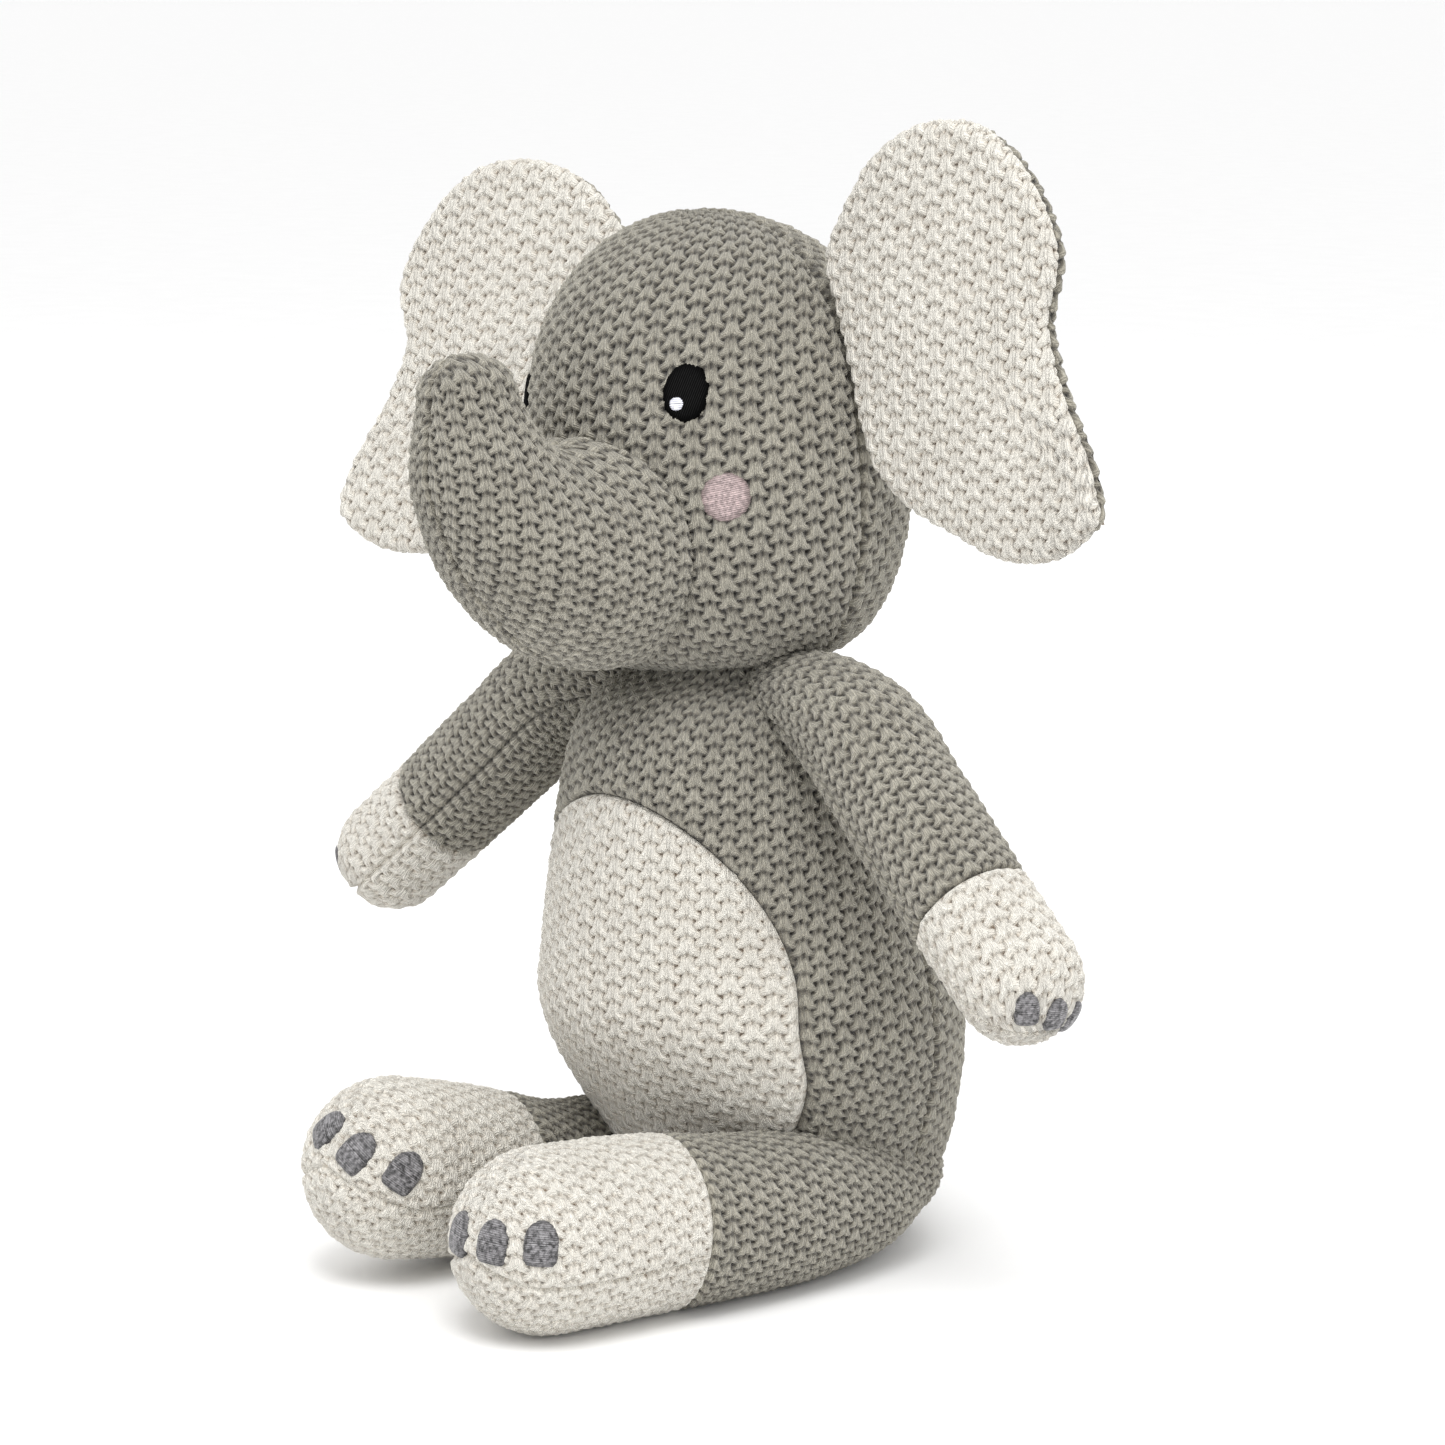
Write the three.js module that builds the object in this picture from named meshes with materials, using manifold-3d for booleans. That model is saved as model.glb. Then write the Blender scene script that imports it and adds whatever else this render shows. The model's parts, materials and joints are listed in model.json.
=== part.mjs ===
// A seated knitted elephant, sewn from shaped knitted panels over polyester filling.
//
// Units are millimetres and +Z is up. The toy faces -Y, its left side is +X, and the origin is on
// the surface it sits on, below the middle of its body. Each knitted panel is a skin of the real
// thickness, each filling is a solid a little smaller than the skin around it, and the eyes,
// cheeks and nails are raised pads of embroidery that follow the panel below them.

import * as THREE from "three";
import { mergeVertices } from "three/addons/utils/BufferGeometryUtils.js";
import ManifoldModule from "manifold-3d";

const wasm = await ManifoldModule();
wasm.setup();

// ---------- Driving dimensions ----------

const KNIT = 2.4; // thickness of the knitted fabric
const GAP = 0.4; // clearance between neighbouring panels
const FILLING_INSET = 3.6; // from the outside of a skin to its filling
const THREAD_PAD = 1.0; // height of the satin-stitch pads above the knit

const BODY_SEAM_Y = 12; // side seam between the front and back body panels
const BELLY_PATCH = { height: 57, half: [42, 54] }; // an upright oval, seen from in front
const NECK_OPENING = 15; // radius of the opening between the body and the head

// Height, half width, half depth and centre offset along Y of each level of the body.
const BODY_LEVELS = [
  [0, 26, 24, 12],
  [3.5, 32, 29, 12],
  [11, 37.5, 33, 12],
  [22, 42.5, 37, 11],
  [33, 46, 41.5, 8],
  [44, 48.5, 45.5, 4.5],
  [57, 49.5, 48, 1],
  [72, 46.5, 46, -1.5],
  [88, 42.5, 43, -4],
  [103, 38.5, 40, -6],
  [116, 34.5, 37, -7],
  [126, 30.5, 33.5, -7.5],
  [132, 25.5, 28.5, -7.5],
  [134.5, 20, 22, -7.5],
];

const NECK = [0, -6.5, 134.5]; // the point that the head turns about
const HEAD_TURN = -3; // degrees, towards the toy's right
const HEAD_TILT = -6; // degrees, the left ear is the higher one

// The same for the head, from its own neck point.
const HEAD_LEVELS = [
  [3, 19, 19, 0],
  [5, 27, 27, 0],
  [10, 34.5, 34.5, 0.5],
  [18, 39.5, 39.5, 1],
  [29, 42.5, 42.5, 1.5],
  [42, 43.5, 43.5, 1.5],
  [55, 43, 43, 1.5],
  [68, 41, 41, 1],
  [80, 37, 37, 0],
  [90, 31, 31, -0.5],
  [98, 23, 23, -1],
  [103, 14, 14, -1.5],
];
const HEAD_TOP = [106, 0, 0, -2];
const HEAD_SEAM_Y = 6; // side seam, where the ears are caught

const EAR_THICKNESS = 9;
// Degrees that each ear turns about X, Y and Z of the head: its lobe comes forward, then outwards.
const EAR_TURN = { left: [0, 0, 0], right: [-10, 3, 9] };
const EAR_ROOT_Y = 6;
const EAR_MIDDLE = [80, 72]; // where an ear is thickest
const EAR_PIVOT = [46, 72]; // where an ear turns at its root
// Outline of an ear in its own plane, outwards and up from the neck point.
const EAR_OUTLINE = [
  [37, 93],
  [46, 103],
  [57, 114],
  [72, 120],
  [88, 118],
  [104, 102],
  [109, 91],
  [105, 76],
  [109, 62],
  [118, 43],
  [119, 34],
  [108, 26],
  [92, 23],
  [74, 29],
  [57, 37],
  [51, 44],
  [50, 55],
  [48.5, 67],
  [43.5, 81],
];

// Centre line of the trunk in the head's middle plane, and its radius there.
const TRUNK_LINE = [
  [-45.4, 33, 8],
  [-52.8, 34, 25],
  [-60.8, 39, 20.5],
  [-66.8, 47, 17],
  [-69.8, 57, 14],
  [-70.3, 66, 11.5],
  [-69.8, 78, 8.5],
];

// Seen from in front of the head: degrees round from -Y, height, half width and half height.
const EYE = { side: 40, height: 66, half: [5.2, 6.8], lean: -14 };
const HIGHLIGHT = { side: 37.3, height: 63.6, half: [1.8, 1.8], lean: 0 };
const CHEEK = { side: 50, height: 42.5, half: [5.7, 5.5], lean: 0 };

// Where the rounded root and paw of the left arm are centred.
const ARM_ROOT = [47, -13, 124];
const ARM_TIP = [102, -20, 80.5];
const ARM_ROOT_RADIUS = 9;
const ARM_RADIUS = 12.5;
const PAW_RADIUS = 13.7;
const ARM_CUFF = 48; // distance from the arm's root to the colour change

// Where the rounded hip end and the toe of each leg are centred. The right toe is tipped up.
const LEGS = {
  left: { hip: [33, 7, 17.2], toe: [24, -88, 20.7] },
  right: { hip: [-29, 11, 17.2], toe: [-33, -82, 25] },
};
const LEG_RADIUS = 17;
const FOOT_RADIUS = 20.5;
const LEG_CUFF = 63; // distance from the hip to the colour change
const CROTCH_HALF_WIDTH = 7.8; // half the width of the body between the legs
const LEG_ROOM_TOP = 38; // underside of the body above the legs
const SOLE_Z = 15; // height of the seam around the sole

// Nails, seen from the middle of the toe or paw: degrees round from -Y, and degrees up from level.
const FOOT_NAILS = {
  left: [[-18, 12], [14, 13], [46, 14]],
  right: [[-10, 35], [24, 24], [57, 12]],
};
const FOOT_NAIL_HALF = [4, 5.3];
const PAW_NAILS = [[49, -14], [80, -22], [112, -30]];
const PAW_NAIL_HALF = [2.9, 4.2];

// ---------- Shape helpers ----------

const v = (x, y, z) => new THREE.Vector3(x, y, z);

/** A closed surface through rings of equal point counts; the first and last entry may be a point. */
function loft(rings) {
  const positions = [];
  const indices = [];
  const starts = [];
  for (const ring of rings) {
    starts.push(positions.length / 3);
    for (const p of ring) positions.push(p.x, p.y, p.z);
  }
  for (let k = 0; k + 1 < rings.length; k++) {
    const lower = rings[k].length;
    const upper = rings[k + 1].length;
    const n = Math.max(lower, upper);
    for (let i = 0; i < n; i++) {
      const j = (i + 1) % n;
      const a = starts[k] + (lower === 1 ? 0 : i);
      const b = starts[k] + (lower === 1 ? 0 : j);
      const c = starts[k + 1] + (upper === 1 ? 0 : i);
      const d = starts[k + 1] + (upper === 1 ? 0 : j);
      if (lower > 1) indices.push(a, b, d);
      if (upper > 1) indices.push(a, d, c);
    }
  }
  const geometry = new THREE.BufferGeometry();
  geometry.setAttribute("position", new THREE.Float32BufferAttribute(positions, 3));
  geometry.setIndex(indices);
  return solid(geometry);
}

/** A manifold solid from a closed geometry, turned right side out if need be. */
function solid(geometry) {
  const bare = new THREE.BufferGeometry();
  bare.setAttribute("position", geometry.getAttribute("position"));
  bare.setIndex(geometry.getIndex());
  const merged = mergeVertices(bare, 1e-4);
  const vertProperties = Float32Array.from(merged.getAttribute("position").array);
  const triVerts = Uint32Array.from(merged.getIndex().array);
  if (signedVolume(vertProperties, triVerts) < 0) {
    for (let t = 0; t < triVerts.length; t += 3) {
      const keep = triVerts[t];
      triVerts[t] = triVerts[t + 1];
      triVerts[t + 1] = keep;
    }
  }
  return new wasm.Manifold(new wasm.Mesh({ numProp: 3, vertProperties, triVerts }));
}

function signedVolume(points, triangles) {
  let total = 0;
  const corner = (t) => v(points[3 * t], points[3 * t + 1], points[3 * t + 2]);
  for (let t = 0; t < triangles.length; t += 3) {
    const cross = corner(triangles[t + 1]).cross(corner(triangles[t + 2]));
    total += corner(triangles[t]).dot(cross) / 6;
  }
  return total;
}

/** A ring of points on an ellipse with half axes a and b. */
function ellipse(centre, a, b, count) {
  const ring = [];
  for (let i = 0; i < count; i++) {
    const angle = (2 * Math.PI * i) / count;
    ring.push(centre.clone().addScaledVector(a, Math.cos(angle)).addScaledVector(b, Math.sin(angle)));
  }
  return ring;
}

/** Rings through a table of levels, moved in by inset; the ends move in along Z as well. */
function levelRings(levels, inset, count) {
  const low = levels[0][0];
  const high = levels[levels.length - 1][0];
  const squeeze = (high - low - 2 * inset) / (high - low);
  return levels.map(([z, halfX, halfY, y]) => {
    const centre = v(0, y, low + inset + (z - low) * squeeze);
    if (halfX === 0) return [centre];
    return ellipse(centre, v(halfX - inset, 0, 0), v(0, halfY - inset, 0), count);
  });
}

/** The body's outer shape, or the same moved in by inset. */
function bodyForm(inset, count = 24) {
  const rings = levelRings(BODY_LEVELS, inset, count);
  return loft([[v(0, 3, inset)], ...rings, [v(0, NECK[1], NECK[2] - inset)]]);
}

/** The head's outer shape about its neck point, or the same moved in by inset. */
function headForm(inset, count = 24) {
  const rings = levelRings([...HEAD_LEVELS, HEAD_TOP], inset, count);
  return loft([[v(0, 0, HEAD_LEVELS[0][0] + inset)], ...rings]);
}

/** The point and direction at a distance along a curve, carried straight on past its ends. */
function travel(line, length, distance) {
  const inside = THREE.MathUtils.clamp(distance, 0, length);
  const along = line.getTangentAt(inside / length);
  const centre = line.getPointAt(inside / length).addScaledVector(along, distance - inside);
  return { centre, along };
}

/**
 * A round limb with domed ends along [centre, radius] stations, or the same moved in by inset.
 * The first and last radius are also the depths of the domes; side is one cross direction.
 */
function limbForm(stations, inset, side, count) {
  const line = new THREE.CatmullRomCurve3(stations.map(([p]) => p), false, "centripetal");
  const length = line.getLength();
  const startDome = stations[0][1];
  const endDome = stations[stations.length - 1][1];
  const rings = limbDistances(startDome, endDome, length).map((distance) => {
    const start = Math.min(1, distance / startDome);
    const end = Math.min(1, (length - distance) / endDome);
    const dome = Math.sqrt(start * (2 - start)) * Math.sqrt(end * (2 - end));
    const radius = (limbRadius(stations, distance / length) - inset) * dome;
    const moved = inset + distance * ((length - 2 * inset) / length);
    const { centre, along } = travel(line, length, moved);
    if (radius < 1e-6) return [centre];
    const across = side.clone().addScaledVector(along, -side.dot(along)).normalize();
    const other = along.clone().cross(across);
    return ellipse(centre, across.multiplyScalar(radius), other.multiplyScalar(radius), count);
  });
  return loft(rings);
}

/** Where a limb's rings lie: close together on the domed ends and even between them. */
function limbDistances(startDome, endDome, length) {
  const dome = [0, 0.12, 0.42, 1];
  const between = length - startDome - endDome;
  return [
    ...dome.map((t) => t * startDome),
    ...[0.33, 0.66].map((t) => startDome + t * between),
    ...dome.map((t) => length - t * endDome).reverse(),
  ];
}

/** The limb's full radius at a fraction of its length, eased between its stations. */
function limbRadius(stations, fraction) {
  const place = fraction * (stations.length - 1);
  const index = Math.min(stations.length - 2, Math.floor(place));
  const t = THREE.MathUtils.smoothstep(place - index, 0, 1);
  return stations[index][1] * (1 - t) + stations[index + 1][1] * t;
}

/** A box between two corners. */
function block(low, high) {
  const size = v(...high).sub(v(...low));
  const geometry = new THREE.BoxGeometry(size.x, size.y, size.z);
  geometry.translate(low[0] + size.x / 2, low[1] + size.y / 2, low[2] + size.z / 2);
  return solid(geometry);
}

/** The part of a solid on each side of a plane, with half of GAP taken off each. */
function split(form, normal, offset) {
  const back = normal.map((value) => -value);
  return [
    form.trimByPlane(normal, offset + GAP / 2),
    form.trimByPlane(back, GAP / 2 - offset),
  ];
}

/** A straight prism with an elliptical section, from a centre along a direction. */
function ellipticalPrism(centre, direction, up, halfSide, halfUp, length, count = 20) {
  const side = up.clone().cross(direction).normalize();
  const rise = direction.clone().cross(side).normalize();
  const end = centre.clone().addScaledVector(direction, length);
  const section = (at) =>
    ellipse(at, side.clone().multiplyScalar(halfSide), rise.clone().multiplyScalar(halfUp), count);
  return loft([[centre], section(centre), section(end), [end]]);
}

/** A round upright column, for an opening at the neck. */
const upright = (foot, radius, height) =>
  ellipticalPrism(foot, v(0, 0, 1), v(0, 1, 0), radius, radius, height);

// ---------- Scene ----------

const GREY = { color: 0x9f9d92, roughness: 0.95, metalness: 0 };
const CREAM = { color: 0xe8e4d8, roughness: 0.95, metalness: 0 };
const FILLING = { color: 0xf4f4f2, roughness: 1, metalness: 0 };
const BLACK_THREAD = { color: 0x141414, roughness: 0.5, metalness: 0 };
const PALE_THREAD = { color: 0xd8d8e4, roughness: 0.5, metalness: 0 };
const PINK_THREAD = { color: 0xd9bbc0, roughness: 0.5, metalness: 0 };
const NAIL_THREAD = { color: 0x6e6d70, roughness: 0.45, metalness: 0 };

const elephant = new THREE.Group();
const head = new THREE.Group();
head.position.set(...NECK);
head.rotation.set(0, THREE.MathUtils.degToRad(HEAD_TILT), THREE.MathUtils.degToRad(HEAD_TURN), "ZYX");
elephant.add(head);

/** Adds a solid to a group as a named mesh with its own material. */
function addPiece(name, form, finish, group = elephant) {
  const { vertProperties, triVerts } = form.getMesh();
  const geometry = new THREE.BufferGeometry();
  geometry.setAttribute("position", new THREE.BufferAttribute(vertProperties, 3));
  geometry.setIndex(new THREE.BufferAttribute(triVerts, 1));
  geometry.computeVertexNormals();
  const mesh = new THREE.Mesh(geometry, new THREE.MeshStandardMaterial(finish));
  mesh.name = name;
  group.add(mesh);
}

const LIMB_SIDES = 14;
const FILLING_SIDES = 8;
const LEFT_AND_RIGHT = [
  ["left", 1],
  ["right", -1],
];

// ---------- Legs ----------

function legStations({ hip, toe }) {
  const start = v(...hip);
  const end = v(...toe);
  const along = end.clone().sub(start).normalize();
  return [
    [start.clone().addScaledVector(along, -LEG_RADIUS), LEG_RADIUS],
    [start.clone().lerp(end, 0.25), LEG_RADIUS],
    [start.clone().lerp(end, 0.6), LEG_RADIUS],
    [end.clone(), FOOT_RADIUS],
    [end.clone().addScaledVector(along, FOOT_RADIUS), FOOT_RADIUS],
  ];
}

for (const [side] of LEFT_AND_RIGHT) {
  const { hip, toe } = LEGS[side];
  const stations = legStations(LEGS[side]);
  const form = (inset, sides = LIMB_SIDES) => limbForm(stations, inset, v(1, 0, 0), sides);
  const along = v(...toe).sub(v(...hip)).normalize();
  const hipDistance = v(...hip).dot(along);
  const [foot, upper] = split(form(0).subtract(form(KNIT)), along.toArray(), hipDistance + LEG_CUFF);
  const [instep, sole] = split(foot, [0, 0, 1], SOLE_Z);
  const opening = hipDistance - LEG_RADIUS + 2 * KNIT;
  addPiece(`leg_${side}_upper`, upper.trimByPlane(along.toArray(), opening), GREY);
  addPiece(`leg_${side}_instep`, instep, CREAM);
  addPiece(`leg_${side}_sole`, sole, CREAM);
  addPiece(`leg_${side}_filling`, form(FILLING_INSET, FILLING_SIDES), FILLING);
  const layer = form(-GAP - THREAD_PAD).subtract(form(-GAP));
  FOOT_NAILS[side].forEach(([turn, tilt], index) => {
    const nail = layer.intersect(nailPrism(v(...toe), turn, tilt, FOOT_NAIL_HALF));
    addPiece(`leg_${side}_nail_${index + 1}`, nail, NAIL_THREAD);
  });
}

/** The outline of a nail, looking out from a centre: degrees round from -Y and up from level. */
function nailPrism(centre, turn, tilt, half) {
  const direction = v(0, -1, 0)
    .applyAxisAngle(v(1, 0, 0), THREE.MathUtils.degToRad(-tilt))
    .applyAxisAngle(v(0, 0, 1), THREE.MathUtils.degToRad(turn));
  return ellipticalPrism(centre, direction, v(0, 0, 1), half[0], half[1], 40, 8);
}

// ---------- Arms ----------

const armRoot = v(...ARM_ROOT);
const armTip = v(...ARM_TIP);
const armAlong = armTip.clone().sub(armRoot).normalize();
const armStations = [
  [armRoot.clone().addScaledVector(armAlong, -ARM_ROOT_RADIUS), ARM_ROOT_RADIUS],
  [armRoot.clone().lerp(armTip, 0.3), ARM_RADIUS],
  [armRoot.clone().lerp(armTip, 0.65), ARM_RADIUS],
  [armTip, PAW_RADIUS],
  [armTip.clone().addScaledVector(armAlong, PAW_RADIUS), PAW_RADIUS],
];
const armForm = (inset, sides = LIMB_SIDES) => limbForm(armStations, inset, v(0, 1, 0), sides);
const rootDistance = armRoot.dot(armAlong);
const [leftPaw, leftSleeve] = split(
  armForm(0).subtract(armForm(KNIT)),
  armAlong.toArray(),
  rootDistance + ARM_CUFF,
);
const sleeveOpening = rootDistance - ARM_ROOT_RADIUS + 1.5 * KNIT;
const armThreadLayer = armForm(-GAP - THREAD_PAD).subtract(armForm(-GAP));

for (const [side, sign] of LEFT_AND_RIGHT) {
  const mirrored = (form) => (sign > 0 ? form : form.mirror([1, 0, 0]));
  const sleeve = leftSleeve.trimByPlane(armAlong.toArray(), sleeveOpening);
  addPiece(`arm_${side}_sleeve`, mirrored(sleeve), GREY);
  addPiece(`arm_${side}_paw`, mirrored(leftPaw), CREAM);
  addPiece(`arm_${side}_filling`, mirrored(armForm(FILLING_INSET, FILLING_SIDES)), FILLING);
  PAW_NAILS.forEach(([turn, tilt], index) => {
    const nail = armThreadLayer.intersect(nailPrism(armTip, turn, tilt, PAW_NAIL_HALF));
    addPiece(`arm_${side}_nail_${index + 1}`, mirrored(nail), NAIL_THREAD);
  });
}

// ---------- Body ----------

/** The room that the legs take out of the underside of the body, plus a margin. */
function legRoom(margin) {
  const rooms = LEFT_AND_RIGHT.map(([side, sign]) => {
    const inner = sign * (CROTCH_HALF_WIDTH - margin);
    const outer = sign * 70;
    const low = [Math.min(inner, outer), -80, -20];
    const back = LEGS[side].hip[1] + LEG_RADIUS + GAP + margin;
    return block(low, [Math.max(inner, outer), back, LEG_ROOM_TOP + margin]);
  });
  return rooms[0].add(rooms[1]);
}

const neckHole = upright(v(0, NECK[1], NECK[2] - 20), NECK_OPENING, 40);
const bodyInside = bodyForm(KNIT).subtract(legRoom(KNIT));
const bodySkin = bodyForm(0).subtract(legRoom(0)).subtract(bodyInside).subtract(neckHole);
const [bodyBack, bodyWholeFront] = split(bodySkin, [0, 1, 0], BODY_SEAM_Y);
const patchOutline = (margin) => {
  const [halfSide, halfUp] = BELLY_PATCH.half;
  const centre = v(0, 0, BELLY_PATCH.height);
  return ellipticalPrism(centre, v(0, -1, 0), v(0, 0, 1), halfSide + margin, halfUp + margin, 90, 28);
};
addPiece("body_front_panel", bodyWholeFront.subtract(patchOutline(GAP)), GREY);
addPiece("belly_patch", bodyWholeFront.intersect(patchOutline(0)), CREAM);
addPiece("body_back_panel", bodyBack, GREY);
addPiece("body_filling", bodyForm(FILLING_INSET, 16).subtract(legRoom(FILLING_INSET)), FILLING);

// ---------- Head ----------

const headSkin = headForm(0).subtract(headForm(KNIT)).subtract(upright(v(0, 0, -10), NECK_OPENING, 30));
const [headBack, headFront] = split(headSkin, [0, 1, 0], HEAD_SEAM_Y);
addPiece("head_front_panel", headFront, GREY, head);
addPiece("head_back_panel", headBack, GREY, head);
addPiece("head_filling", headForm(FILLING_INSET, 16), FILLING, head);

const threadLayer = headForm(-GAP - THREAD_PAD).subtract(headForm(-GAP));
for (const [side, sign] of LEFT_AND_RIGHT) {
  const outline = (feature, margin) => {
    const angle = THREE.MathUtils.degToRad(feature.side * sign);
    const direction = v(Math.sin(angle), -Math.cos(angle), 0);
    const up = v(0, 0, 1).applyAxisAngle(direction, THREE.MathUtils.degToRad(feature.lean * sign));
    const [halfSide, halfUp] = feature.half;
    const centre = v(0, 0, feature.height);
    return ellipticalPrism(centre, direction, up, halfSide + margin, halfUp + margin, 60, 12);
  };
  const eye = threadLayer.intersect(outline(EYE, 0)).subtract(outline(HIGHLIGHT, GAP / 2));
  addPiece(`eye_${side}`, eye, BLACK_THREAD, head);
  addPiece(`eye_${side}_highlight`, threadLayer.intersect(outline(HIGHLIGHT, 0)), PALE_THREAD, head);
  addPiece(`cheek_${side}`, threadLayer.intersect(outline(CHEEK, 0)), PINK_THREAD, head);
}

// ---------- Trunk ----------

const trunkStations = TRUNK_LINE.map(([y, z, radius]) => [v(0, y, z), radius]);
const trunkForm = (inset, sides = LIMB_SIDES) => limbForm(trunkStations, inset, v(1, 0, 0), sides);
const [trunkLeft, trunkRight] = split(trunkForm(0).subtract(trunkForm(KNIT)), [1, 0, 0], 0);
addPiece("trunk_left_panel", trunkLeft, GREY, head);
addPiece("trunk_right_panel", trunkRight, GREY, head);
addPiece("trunk_filling", trunkForm(FILLING_INSET, FILLING_SIDES), FILLING, head);

// ---------- Ears ----------

/** The left ear's pillow shape in its own plane, or the same thinned by inset and cut in by trim. */
function earForm(inset, trim = inset, count = 24) {
  const outline = new THREE.CatmullRomCurve3(EAR_OUTLINE.map(([x, z]) => v(x, 0, z)), true);
  const edge = outline.getSpacedPoints(count).slice(0, count);
  const middle = v(EAR_MIDDLE[0], 0, EAR_MIDDLE[1]);
  const half = EAR_THICKNESS / 2 - inset;
  const ring = (angle) =>
    edge.map((point) => {
      const spoke = point.clone().sub(middle);
      const reach = (spoke.length() - trim) * Math.cos(angle);
      return middle.clone().addScaledVector(spoke.normalize(), reach).setY(half * Math.sin(angle));
    });
  const turns = [-0.4, -0.2, 0, 0.2, 0.4].map((turn) => turn * Math.PI);
  const pole = (side) => [middle.clone().setY(half * side)];
  return loft([pole(-1), ...turns.map(ring), pole(1)]);
}

for (const [side, sign] of LEFT_AND_RIGHT) {
  const ear = new THREE.Group();
  ear.position.set(sign * EAR_PIVOT[0], EAR_ROOT_Y, EAR_PIVOT[1]);
  ear.rotation.set(...EAR_TURN[side].map(THREE.MathUtils.degToRad), "ZYX");
  head.add(ear);
  const placed = (form) => {
    const local = form.translate([-EAR_PIVOT[0], 0, -EAR_PIVOT[1]]);
    return sign > 0 ? local : local.mirror([1, 0, 0]);
  };
  const [back, front] = split(earForm(0).subtract(earForm(KNIT)), [0, 1, 0], 0);
  addPiece(`ear_${side}_front_panel`, placed(front), CREAM, ear);
  addPiece(`ear_${side}_back_panel`, placed(back), GREY, ear);
  addPiece(`ear_${side}_wadding`, placed(earForm(KNIT + GAP, 3 * KNIT, 16)), FILLING, ear);
}

export default elephant;
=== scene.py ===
"""A seated knitted elephant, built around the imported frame.

Every panel is a sheet of tuck-stitch knit: a smooth grid in the panel's own shape, in millimetres,
whose surface is then raised stitch by stitch, and whose edges roll in where the panels are sewn.
"""

import json
import math

import bpy
import numpy as np
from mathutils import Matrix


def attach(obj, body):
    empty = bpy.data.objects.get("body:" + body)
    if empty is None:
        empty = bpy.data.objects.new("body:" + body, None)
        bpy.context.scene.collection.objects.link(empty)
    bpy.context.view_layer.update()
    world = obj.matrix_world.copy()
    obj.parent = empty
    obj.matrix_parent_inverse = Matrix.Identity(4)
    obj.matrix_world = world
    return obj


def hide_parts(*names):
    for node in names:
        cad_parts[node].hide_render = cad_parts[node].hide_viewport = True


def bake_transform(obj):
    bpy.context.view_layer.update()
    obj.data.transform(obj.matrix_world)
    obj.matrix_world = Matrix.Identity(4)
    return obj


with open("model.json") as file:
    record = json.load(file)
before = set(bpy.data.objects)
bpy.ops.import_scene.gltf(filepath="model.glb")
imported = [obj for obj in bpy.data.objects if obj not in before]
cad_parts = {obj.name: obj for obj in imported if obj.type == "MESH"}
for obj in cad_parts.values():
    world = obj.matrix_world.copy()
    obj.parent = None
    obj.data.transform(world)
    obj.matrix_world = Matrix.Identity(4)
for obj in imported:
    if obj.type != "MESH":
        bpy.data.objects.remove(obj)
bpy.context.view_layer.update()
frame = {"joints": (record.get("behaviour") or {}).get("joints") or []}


joints = {joint["name"]: joint for joint in frame["joints"]}

# ---------- Driving dimensions, in millimetres and degrees ----------

MM = 0.001
LEFT_AND_RIGHT = (("left", 1), ("right", -1))

NECK = np.array(joints["head_turn"]["pos_m"]) / MM
HEAD_TURN = -3
HEAD_TILT = -6
HEAD_SEAM_Y = 6
BODY_SEAM_Y = 12

# Height, half width, half depth and centre offset along Y of each level of the body.
BODY_LEVELS = [
    (0, 0, 0, 12),
    (0, 14, 13, 12),
    (0.6, 25, 23, 11.5),
    (3.5, 31, 28, 11.5),
    (11, 36.5, 32.3, 11),
    (22, 42, 37, 10),
    (33, 46, 41.3, 7.3),
    (44, 49, 45.6, 4.2),
    (57, 50, 48.5, 1),
    (72, 47, 46.5, -1.5),
    (88, 43, 43.5, -4),
    (103, 39, 40.5, -6),
    (116, 35.5, 37.8, -7),
    (126, 31.5, 34.3, -7.5),
    (132, 26, 29, -7.5),
    (136, 20, 22, -7.2),
    (141, 16, 17, -6.8),
]
# The same for the head, from its own neck point.
HEAD_LEVELS = [
    (2.5, 17, 17, 0),
    (4.5, 26, 26, -0.3),
    (10, 34, 33.5, -0.6),
    (18, 39, 38.6, -0.2),
    (29, 42.4, 42.2, 0.6),
    (42, 43.8, 43.8, 1.3),
    (55, 43.6, 43.8, 1.7),
    (68, 42.0, 42.6, 2.0),
    (80, 38.5, 39.4, 1.8),
    (90, 32.6, 33.6, 1.4),
    (98, 24.6, 25.4, 0.6),
    (103.8, 14, 14, -0.6),
    (106.2, 0, 0, -1.5),
]
BELLY_PATCH = {"height": 57, "half": (42, 54), "narrowing": 0.3}

# Sections of the trunk in the head's middle plane: the upper end of each, as Y and Z, the lower
# end, and half the width across. The last is rounded over by TRUNK_CAP.
TRUNK_SECTIONS = [
    ((-31, 62.5), (-31, 5.5), 28.5),
    ((-37, 60.8), (-41, 5.4), 27.8),
    ((-42, 58.2), (-51.5, 7.8), 26.6),
    ((-46, 56.4), (-61.2, 13.3), 24.8),
    ((-49, 55.8), (-69.8, 21.2), 22.4),
    ((-52, 56.5), (-76.4, 30), 19.9),
    ((-54.8, 58.5), (-80.8, 39.5), 17.4),
    ((-57, 62), (-83.8, 49.5), 15),
    ((-58.8, 66), (-83.2, 59.5), 12.8),
    ((-60, 70), (-81.5, 68), 11),
]
TRUNK_CAP = 9
TRUNK_HIDDEN = 2.9  # how far the cloth sinks past its seam, inside the face

EAR_THICKNESS = 9
# Share of an ear's grid and of its reach that is flat, inside the rounded rim, and the thickness
# left at that rim.
EAR_FLAT = 0.87
EAR_FLAT_REACH = 0.93
EAR_RIM = 0.64
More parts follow.
